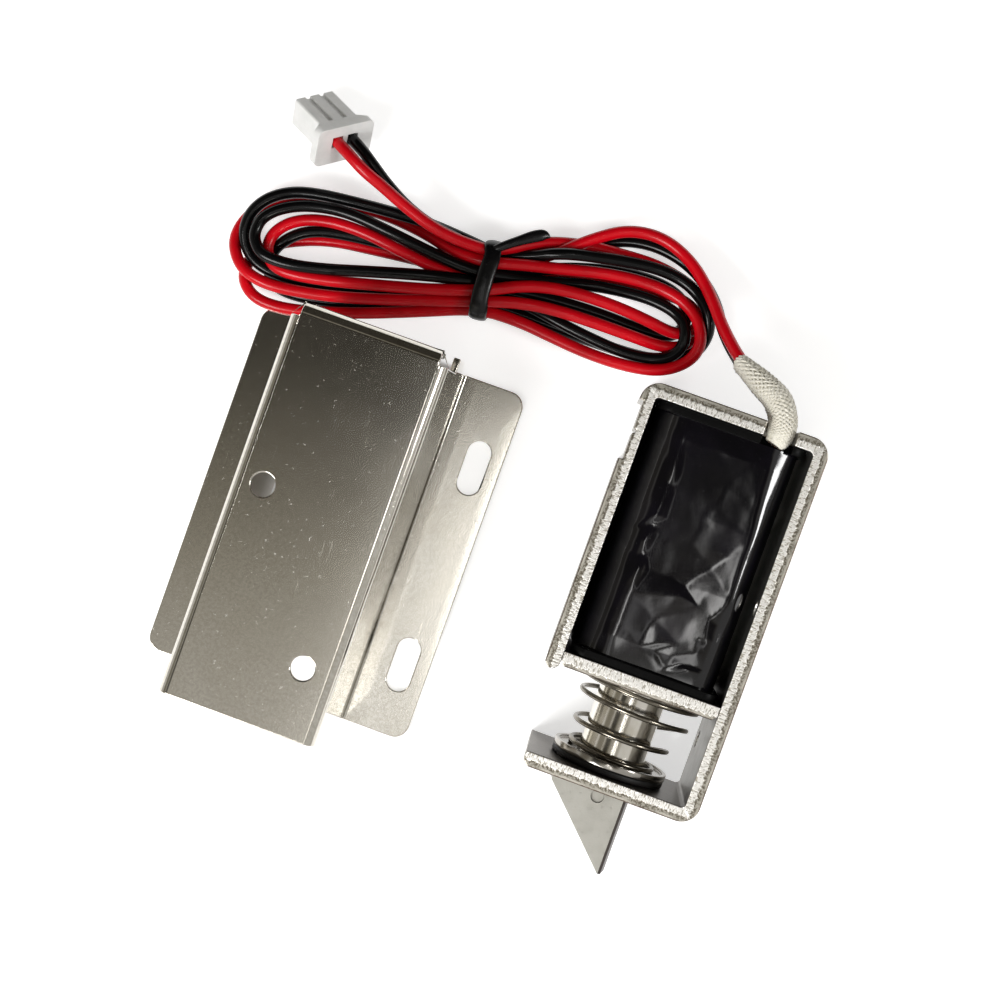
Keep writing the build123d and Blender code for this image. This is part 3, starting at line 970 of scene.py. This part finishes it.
    def build(self) -> None:
        """Make and dress the coil's pieces."""
        nylon = Moulding("black_nylon", (0.002,) * 3, (0.003,) * 3, 0.4, 1.5, 0.01, gloss=0.08)
        bobbin = rounded_copy("bobbin", 0.12)
        finish_piece(bobbin, nylon.material(), Body.CASE, ["bobbin"])
        dress_node("winding", CoilCopper().material())
        finish_piece(self.tape(), TapeVinyl().material(), Body.CASE, ["tape_wrap"])
        brass = TurnedMetal("brass_tube", (0.78, 0.60, 0.30), (0.55, 0.40, 0.18), 0.25)
        dress_node("guide_tube", brass.material())


@dataclass
class Bolt:
    """Plunger, core, tongue, pin, washers and the loose conical spring.

    The spring's stations are a quarter turn apart: distance below the frame's top, radius, and how far
    the turn lies aside.
    """

    axis: tuple[float, float] = (27.45, 9.5)
    row_top: float = 32.75
    plate_at: float = 39.8
    stroke: float = 7.0
    wire: float = 0.7
    spring_steps: int = 40
    turns: Stations = (
        (40.2, 8.0, 0.7), (40.45, 8.1, 0.85), (40.75, 8.2, 0.95), (42.2, 8.1, 1.05), (42.6, 8.0, 1.1),
        (42.9, 7.8, 1.0), (43.5, 7.6, 0.95), (46.0, 7.3, 0.8), (46.7, 7.1, 0.7), (46.75, 6.8, 0.6),
        (47.1, 6.6, 0.45), (49.2, 6.4, 0.3), (49.6, 6.2, 0.2), (49.95, 6.0, 0.1), (50.05, 5.9, 0.0),
        (50.1, 5.87, 0.0), (50.1, 5.85, 0.0),
    )

    def spring(self, material: Material) -> Obj:
        """Make the spring as one smooth wire through its stations."""
        halves = (len(self.turns) - 1) // 2
        steps = halves * self.spring_steps // 2
        line = []
        for step in range(steps + 1):
            share = step / steps
            down, radius, aside = blend_points(self.turns, share)
            angle = math.pi * (1 - share * halves)
            x = self.axis[0] + aside + radius * math.cos(angle)
            line.append((x, self.row_top - down, self.axis[1] + radius * math.sin(angle)))
        return round_wires("return_spring_dressed", [line], self.wire / 2, 14, material)

    def build(self) -> None:
        """Make and dress the bolt's pieces."""
        steel = TurnedMetal("turned_steel", (0.80, 0.77, 0.71), (0.58, 0.54, 0.44), 0.12).material()
        finish_piece(rounded_copy("plunger", 0.1), steel, Body.BOLT, ["plunger"])
        dress_node("fixed_core", steel)
        pin = CastMetal("pin_steel", (0.45, 0.44, 0.40), (0.31, 0.295, 0.26))
        washer = SheetNickel("nickel_washer", (0.46, 0.44, 0.41), (0.26, 0.245, 0.22), 0.15, 0.2)
        rubber = Moulding("black_rubber", (0.006,) * 3, (0.012, 0.011, 0.010), 0.5, 2.0, gloss=0.3)
        for node, finish, slot, *rounding in (
            ("cross_pin", pin, "turned_steel", 0.04),
            ("latch_tongue", CastMetal(), "cast_zinc", 0.55, 5, 12.0),
            ("spring_washer", washer, "nickel_washer", 0.12, 3),
            ("damping_washer", rubber, "black_rubber", 0.2),
        ):
            finish_piece(rounded_copy(node, *rounding), finish.material(), Body.BOLT, [node])
        wire = TurnedMetal("spring_wire", (0.22, 0.20, 0.165), (0.11, 0.095, 0.075), 0.2, 3.0, 0.004)
        material = wire.material()
        spring = self.spring(material)
        finish_piece(spring, material, Body.CASE, ["return_spring"])
        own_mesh(spring)


@dataclass
class Leads:
    """Red and black lead, each one cord from the sleeve through the hank to the plug.

    The routes are in tenths of a millimetre, the lengths in metres.
    """

    diameter: float = 1.7
    red: Sequence[tuple[int, int, int]] = (
        (282, 379, 142), (264, 387, 134), (222, 427, 100), (189, 471, 69), (149, 508, 50),
        (100, 527, 44), (50, 521, 42), (7, 492, 42), (-31, 459, 34), (-72, 433, 17), (-114, 406, 15),
        (-168, 390, 11), (-231, 384, 11), (-290, 377, 15), (-337, 371, 17), (-376, 360, 13),
        (-414, 343, 9), (-444, 319, 9), (-450, 292, 14), (-441, 269, 20), (-416, 254, 22),
        (-374, 255, 23), (-320, 269, 22), (-260, 289, 21), (-191, 316, 22), (-112, 348, 27),
        (-53, 350, 30), (-5, 345, 30), (47, 340, 30), (104, 340, 31), (155, 348, 35), (187, 368, 41),
        (201, 393, 48), (195, 420, 51), (175, 444, 48), (139, 458, 42), (91, 460, 40), (35, 452, 40),
        (-19, 438, 42), (-69, 426, 48), (-117, 412, 52), (-168, 410, 39), (-221, 424, 19),
        (-280, 430, 18), (-334, 427, 21), (-381, 421, 21), (-423, 409, 20), (-456, 384, 18),
        (-475, 350, 19), (-475, 318, 24), (-451, 289, 33), (-414, 279, 37), (-369, 283, 35),
        (-310, 295, 34), (-245, 314, 35), (-177, 336, 37), (-111, 358, 41), (-63, 373, 42),
        (-16, 381, 41), (48, 383, 40), (103, 383, 36), (147, 383, 27), (175, 391, 17), (189, 408, 12),
        (190, 428, 10), (178, 449, 21), (147, 457, 27), (97, 451, 13), (40, 439, 8), (-15, 426, 10),
        (-66, 411, 18), (-112, 394, 24), (-149, 384, 29), (-188, 380, 39), (-236, 386, 44),
        (-300, 395, 45), (-357, 393, 41), (-399, 378, 38), (-422, 354, 36), (-425, 331, 37),
        (-418, 317, 36), (-405, 306, 38), (-378, 304, 42), (-325, 313, 43), (-249, 332, 45),
        (-177, 351, 49), (-110, 373, 51), (-60, 399, 48), (-7, 412, 45), (63, 415, 42), (119, 411, 37),
        (155, 406, 29), (175, 412, 23), (189, 425, 29), (194, 447, 29), (181, 469, 23), (147, 483, 21),
        (101, 490, 24), (51, 487, 27), (-3, 483, 23), (-60, 466, 32), (-116, 429, 49), (-152, 426, 54),
        (-201, 429, 61), (-253, 445, 68), (-293, 461, 80), (-322, 471, 89), (-355, 489, 87),
        (-386, 505, 69),
    )
    black: Sequence[tuple[int, int, int]] = (
        (280, 377, 122), (264, 385, 114), (224, 424, 80), (196, 471, 49), (154, 502, 32),
        (103, 515, 26), (54, 510, 19), (16, 491, 9), (-20, 465, 9), (-70, 448, 9), (-118, 423, 14),
        (-170, 405, 20), (-244, 392, 26), (-325, 384, 30), (-373, 373, 31), (-401, 353, 29),
        (-418, 328, 22), (-419, 310, 11), (-412, 289, 9), (-390, 278, 10), (-342, 281, 9),
        (-278, 297, 9), (-196, 327, 9), (-112, 360, 16), (-48, 361, 11), (11, 359, 9), (70, 359, 9),
        (126, 361, 10), (170, 369, 15), (199, 390, 25), (207, 421, 38), (196, 449, 46), (173, 469, 40),
        (144, 481, 39), (103, 484, 40), (42, 474, 47), (-25, 459, 54), (-68, 440, 37), (-113, 429, 26),
        (-164, 435, 21), (-221, 438, 30), (-280, 434, 39), (-334, 429, 42), (-378, 424, 42),
        (-415, 415, 41), (-445, 396, 40), (-462, 371, 38), (-465, 346, 34), (-459, 326, 29),
        (-444, 309, 26), (-417, 298, 26), (-376, 298, 19), (-322, 308, 18), (-262, 324, 20),
        (-191, 350, 19), (-115, 378, 16), (-54, 376, 19), (-6, 369, 24), (43, 362, 25), (105, 357, 26),
        (156, 365, 30), (177, 385, 36), (177, 410, 42), (162, 432, 36), (120, 442, 30), (59, 438, 25),
        (5, 427, 25), (-47, 411, 32), (-108, 399, 42), (-150, 394, 48), (-205, 399, 50),
        (-270, 407, 51), (-330, 413, 50), (-381, 405, 50), (-418, 389, 50), (-442, 367, 49),
        (-446, 344, 49), (-440, 329, 50), (-424, 315, 53), (-383, 315, 54), (-333, 326, 52),
        (-270, 345, 51), (-195, 366, 52), (-145, 378, 46), (-111, 383, 36), (-67, 390, 29),
        (-11, 396, 23), (51, 399, 20), (112, 397, 16), (152, 400, 11), (166, 412, 9), (170, 423, 9),
        (169, 438, 9), (154, 460, 9), (112, 470, 9), (51, 464, 9), (-9, 447, 15), (-62, 422, 30),
        (-115, 415, 34), (-164, 429, 38), (-211, 434, 45), (-252, 447, 51), (-289, 467, 62),
        (-312, 483, 72), (-340, 502, 72), (-371, 518, 54),
    )
    red_length: float = 0.507
    black_length: float = 0.493

    def build(self, ends: Sequence[Obj]) -> None:
        """Make both cords.

        Args:
            ends: the plug's pieces, for the cords' far end; not used.
        """
        red = ((0.60, 0.002, 0.009), (0.44, 0.0015, 0.006), 0.24, 0.25)
        black = ((0.002, 0.002, 0.0022), (0.0035, 0.0035, 0.004), 0.17, 0.22)
        for word, tenths, (color, shade, rough, gloss), length in (
            ("red", self.red, red, self.red_length),
            ("black", self.black, black, self.black_length),
        ):
            finish = Moulding(f"{word}_lead", color, shade, rough, 0.7, gloss=gloss)
            route = [tuple(c / TENTHS for c in point) for point in tenths]
            cord = spline_curve(f"cord_{word}", route, self.diameter)
            nodes = [f"lead_{word}", f"end_{word}", "lead_hank"]
            finish_piece(cord, finish.material(), Body.CASE, nodes)
            tuple(c * MM for c in route[0])


@dataclass
class Sleeve:
    """Braided sleeve round both leads where they leave the coil.

    The path's stations are a place, then half the height and half the width.
    """

    path: Stations = (
        (33.35, 30.3, 16.75, 1.35, 1.35), (33.6, 31.3, 16.7, 1.7, 1.7),
        (33.45, 33.25, 16.6, 1.85, 1.85), (32.0, 35.7, 15.9, 2.0, 1.95),
        (29.2, 37.4, 14.5, 1.85, 1.7), (25.9, 39.1, 12.2, 1.95, 1.25),
    )
    carriers: int = 14
    twist: float = 1.9
    steps: int = 120
    weave: float = 0.10
    yarn: float = 0.30
    lining: float = 0.34
    lining_rows: int = 40
    lining_sides: int = 24

    def place(self, share: float, angle: float, proud: float) -> Point:
        """Point on the sleeve.

        Args:
            share: place along it, from 0 to 1.
            angle: place round it.
            proud: distance outside the lining's surface.

        Returns:
            The point, in millimetres.
        """
        here, level, rise = cross_axes(self.path, share, 0.01)
        across = level * math.cos(angle) * (here[4] - self.lining + proud)
        up = rise * math.sin(angle) * (here[3] - self.lining + proud)
        return tuple(Vector(here[:3]) + across + up)

    def yarns(self) -> list[list[Point]]:
        """Lines of the yarns, half of them turning each way, over and under each other."""
        lines = []
        for hand in (1, -1):
            for carrier in range(self.carriers):
                line = []
                for step in range(self.steps + 1):
                    share = step / self.steps
                    turn = hand * self.twist * TURN * share
                    angle = turn + TURN * carrier / self.carriers
                    wave = math.cos(self.carriers * turn * hand + (0.0 if hand > 0 else math.pi))
                    line.append(self.place(share, angle, self.yarn * 0.4 + self.weave * wave))
                lines.append(line)
        return lines

    def build(self) -> None:
        """Make the braid over its lining."""
        material = BraidYarn().material()
        braid = round_wires("sleeve_braid", self.yarns(), self.yarn, 6, material, 0.6)
        finish_piece(braid, material, Body.CASE, ["lead_sleeve"])
        angles = [TURN * k / self.lining_sides for k in range(self.lining_sides)]
        shares = [step / self.lining_rows for step in range(self.lining_rows + 1)]
        rings = [[self.place(share, angle, 0.0) for angle in angles] for share in shares]
        lining = skin_rings("sleeve_lining", rings, False)
        shade = Moulding("sleeve_lining", (0.66, 0.63, 0.53), (0.52, 0.49, 0.39), 0.8, 1.0, 0.03)
        finish_piece(lining, shade.material(), Body.CASE, ["lead_sleeve"])


@dataclass
class Tie:
    """Tie round the hank's waist, with one free tail.

    The tail's stations are a place, then half the width and half the thickness.
    """

    middle: Point = (-11.35, 38.85, 3.64)
    turn_deg: float = 6.0
    half_across: float = 5.35
    half_high: float = 3.15
    band_width: float = 2.5
    band_thick: float = 0.95
    squareness: float = 2.8
    band_rows: int = 64
    band_sides: int = 18
    tail: Stations = (
        (-12.2, 42.6, 5.9, 0.5, 0.4), (-10.6, 43.9, 6.3, 0.62, 0.45), (-8.8, 45.3, 6.2, 0.7, 0.5),
        (-7.0, 46.6, 6.0, 0.85, 0.45), (-5.7, 47.3, 5.8, 0.75, 0.35), (-4.8, 47.3, 5.6, 0.12, 0.12),
    )
    tail_rows: int = 24
    tail_sides: int = 14

    def band(self) -> Obj:
        """Make the band: a soft strip with a rounded section, bent round the waist."""
        turned = math.radians(self.turn_deg)
        along = Vector((math.cos(turned), math.sin(turned), 0))
        across = Vector((-along.y, along.x, 0))
        up = Vector(UPWARD)
        power = 2 / self.squareness
        rings = []
        for step in range(self.band_rows):
            angle = TURN * step / self.band_rows
            c, s = math.cos(angle), math.sin(angle)
            u = math.copysign(abs(c) ** power, c) * self.half_across
            v = math.copysign(abs(s) ** power, s) * self.half_high
            away = (across * c / self.half_across + up * s / self.half_high).normalized()
            slip = noise.noise(Vector((c * 1.3, s * 1.3, 4.0))) * 0.35
            wide = self.band_width / 2 * (1 + 0.16 * noise.noise(Vector((c * 2.0, s * 2.0, 9.0))))
            thick = self.band_thick / 2 * (1 + 0.2 * noise.noise(Vector((c * 2.5, s * 2.5, 1.0))))
            centre = Vector(self.middle) + across * u + up * v + along * slip
            ring = []
            for k in range(self.band_sides):
                turn = TURN * k / self.band_sides
                ridge = 1 + 0.10 * math.cos(2 * turn)
                aside = along * math.cos(turn) * wide
                ring.append(tuple(centre + aside + away * math.sin(turn) * thick * ridge))
            rings.append(ring)
        return skin_rings("cable_tie_band", rings, True)

    def free_tail(self) -> Obj:
        """Make the tail, flat and pointed, with a slight hook at its end."""
        turns = [TURN * k / self.tail_sides for k in range(self.tail_sides)]
        rings = []
        for step in range(self.tail_rows + 1):
            here, level, rise = cross_axes(self.tail, step / self.tail_rows, 0.02)
            centre, wide, thick = Vector(here[:3]), here[3], here[4]
            ring = [centre + level * math.cos(t) * wide + rise * math.sin(t) * thick for t in turns]
            rings.append([tuple(p) for p in ring])
        return skin_rings("cable_tie_tail", rings, False)

    def build(self) -> None:
        """Make the tie."""
        color, shade = (0.0025, 0.0025, 0.003), (0.005, 0.005, 0.006)
        material = Moulding("tie_plastic", color, shade, 0.26, 0.9, 0.04, gloss=0.35).material()
        for piece in (self.band(), self.free_tail()):
            finish_piece(piece, material, Body.CASE, ["cable_tie"])


@dataclass
class Plug:
    """White two-way plug and its contacts."""

    def build(self) -> list[Obj]:
        """Make the plug and return its pieces."""
        nylon = Moulding("white_nylon", (0.80, 0.80, 0.79), (0.72, 0.725, 0.71), 0.34, 1.6, soft=0.25)
        housing = rounded_copy("plug_housing", 0.14, 2)
        finish_piece(housing, nylon.material(), Body.CASE, ["plug_housing"])
        tin = TurnedMetal("tinned_contact", (0.72, 0.72, 0.70), (0.5, 0.5, 0.48), 0.3)
        dress_node("plug_contacts", tin.material())
        return [housing, frame["nodes"]["plug_contacts"]]


@dataclass
class Studio:
    """Floor, soft lights and the camera at the photograph's angle.

    The camera's place is in millimetres. overhead, front, bank, low_bounce and window are strengths of
    the patches of light overhead, sky that of the light all round.
    """

    camera_place: Point = (12.677, 20.075, 258.327)
    right: Point = (0.93967, 0.33739, -0.05641)
    up: Point = (-0.33894, 0.94059, -0.02031)
    back: Point = (0.04621, 0.03820, 0.99820)
    lens: float = 64.96
    sensor: float = 36.0
    floor_reach: float = 3.0
    floor_white: Color = (0.80, 0.80, 0.80)
    glow: float = 0.60
    sky: float = 0.60
    overhead: float = 0.035
    front: float = 0.47
    bank: float = 1.2
    low_bounce: float = 3.0
    window: float = 6.5
    warm: Color = (1.0, 0.92, 0.74)
    cool: Color = (1.0, 0.99, 0.97)

    def camera(self) -> None:
        """Place the camera."""
        data = bpy.data.cameras.new("camera")
        data.lens = self.lens
        data.sensor_width = self.sensor
        data.clip_start = 0.005
        data.clip_end = 20.0
        obj = link(bpy.data.objects.new("camera", data))
        turn = Matrix((self.right, self.up, self.back)).transposed().to_4x4()
        obj.matrix_world = Matrix.Translation(Vector(self.camera_place) * MM) @ turn
        bpy.context.scene.camera = obj

    def floor(self) -> None:
        """Make the pale floor, which keeps the object's shadow, with painted shade under the cover and
        frame.
        """
        reach = self.floor_reach / MM
        corners = [(-reach, -reach, 0), (reach, -reach, 0), (reach, reach, 0), (-reach, reach, 0)]
        obj = mesh_object("floor", corners, [(0, 1, 2, 3)])
        shade = Shade("floor_white")
        kinds = ("Camera", "Glossy", "Transmission")
        rays = [shade.node("ShaderNodeLightPath", out=f"Is {kind} Ray") for kind in kinds]
        seen = shade.math("MINIMUM", rays[0] + rays[1] + rays[2], 1.0)
        plain = shade.node("ShaderNodeBsdfDiffuse", None, {"Color": (*self.floor_white, 1.0)})
        x, y, _ = shade.axes(shade.place())
        # painted shade: the floor's glow is taken away under the cover and inside the frame
        painted_shade_under_cover = x.between((-0.034, -0.028), (-0.010, -0.013))
        painted_shade_under_cover *= y.between((-0.016, -0.004), (0.0265, 0.0255))
        painted_shade_in_frame = x.between((0.0155, 0.0165), (0.0395, 0.0385))
        painted_shade_in_frame *= y.between((-0.006, -0.004), (0.0325, 0.0315))
        lift = (1 - painted_shade_under_cover.most(painted_shade_in_frame)) * self.glow
        glow = shade.node("ShaderNodeEmission", None, {"Color": (1.0,) * 4, "Strength": lift})
        lit = shade.node("ShaderNodeAddShader", None, {0: plain, 1: glow})
        mixed = shade.node("ShaderNodeMixShader", None, {0: seen, 1: plain, 2: lit})
        obj.data.materials.append(shade.output(mixed))

    def world(self) -> None:
        """Light the scene softly, white behind the object.

        The plated sheets mirror patches of it, each placed by the direction of the ray.
        """
        world = bpy.data.worlds.new("studio")
        bpy.context.scene.world = world
        shade = Shade("studio", world)
        x, y, z = shade.axes(shade.node("ShaderNodeTexCoord", out="Generated"))
        camera = shade.node("ShaderNodeLightPath", out="Is Camera Ray")
        near = ((x * x + y * y) ** 0.5).ramp(0.40, 0.26) * z.ramp(0.0, 0.3)
        low = y.ramp(0.05, -0.03)
        shaded = x.between((-0.076, -0.056), (-0.034, -0.042))
        bank = x.between((-0.091, -0.081), (0.010, -0.004)) * low * (1 - shaded * 0.85)
        bounce = x.between((0.072, 0.082), (0.106, 0.098)) * low
        low_bounce = x.between((0.066, 0.076), (0.114, 0.104)) * y.ramp(-0.11, -0.15)
        window = x.between((-0.036, -0.028), (0.008, -0.002)) * y.between((0.03, -0.02), (-0.16, -0.12))
        cards = (bank + bounce) * self.bank + low_bounce * self.low_bounce + window * self.window
        top = self.overhead + y.ramp(0.02, -0.24) * self.front + cards
        back_wall = y.ramp(0.20, 0.45)
        left_card = x.between((-0.60, -0.66), (-0.90, -0.84)) * z.ramp(0.2, 0.3)
        left_dark = x.between((-0.62, -0.54), (-0.20, -0.27)) * y.ramp(-0.45, -0.25)
        around = (1 - back_wall * 0.93) * (1 - left_card * 0.65) * (1 - left_dark * 0.92) * self.sky
        level = near * top + (1 - near) * around
        tone = shade.mix(level.ramp(0.10, 0.75), self.warm, self.cool)
        color = shade.mix(camera, tone, (1.0, 1.0, 1.0))
        strength = camera + (1 - camera) * level
        shade.output(shade.node("ShaderNodeBackground", None, {"Color": color, "Strength": strength}))

    def lamp(self, name: str, place: Point, aim: Point, size_mm: float, power: float) -> None:
        """Add one soft area lamp.

        Args:
            name: the lamp's name.
            place: where it stands, in millimetres.
            aim: what it points at.
            size_mm: its side.
            power: its power in watts.
        """
        data = bpy.data.lights.new(name, "AREA")
        data.shape = "SQUARE"
        data.size = size_mm * MM
        data.energy = power
        obj = link(bpy.data.objects.new(name, data))
        back = (Vector(place) - Vector(aim)).normalized()
        turn = back.to_track_quat("Z", "Y").to_matrix().to_4x4()
        obj.matrix_world = Matrix.Translation(Vector(place) * MM) @ turn

    def build(self) -> None:
        """Set up floor, light and camera."""
        self.camera()
        self.floor()
        self.world()
        self.lamp("key", (-200, -330, 420), (0, 0, 0), 240, 2.5)
        self.lamp("side", (330, 60, 300), (0, 0, 0), 90, 0.55)
        bpy.context.scene.view_settings.view_transform = "Standard"


def main() -> None:
    """Build the lock, piece by piece, and its studio."""
    logging.basicConfig(level=logging.INFO, format="%(name)s: %(message)s")
    Studio().build()
    plug = Plug().build()
    Leads().build(plug)
    Chassis().build()
    Cover().build()
    Coil().build()
    Bolt().build()
    Sleeve().build()
    Tie().build()


if __name__ == "__main__":
    main()
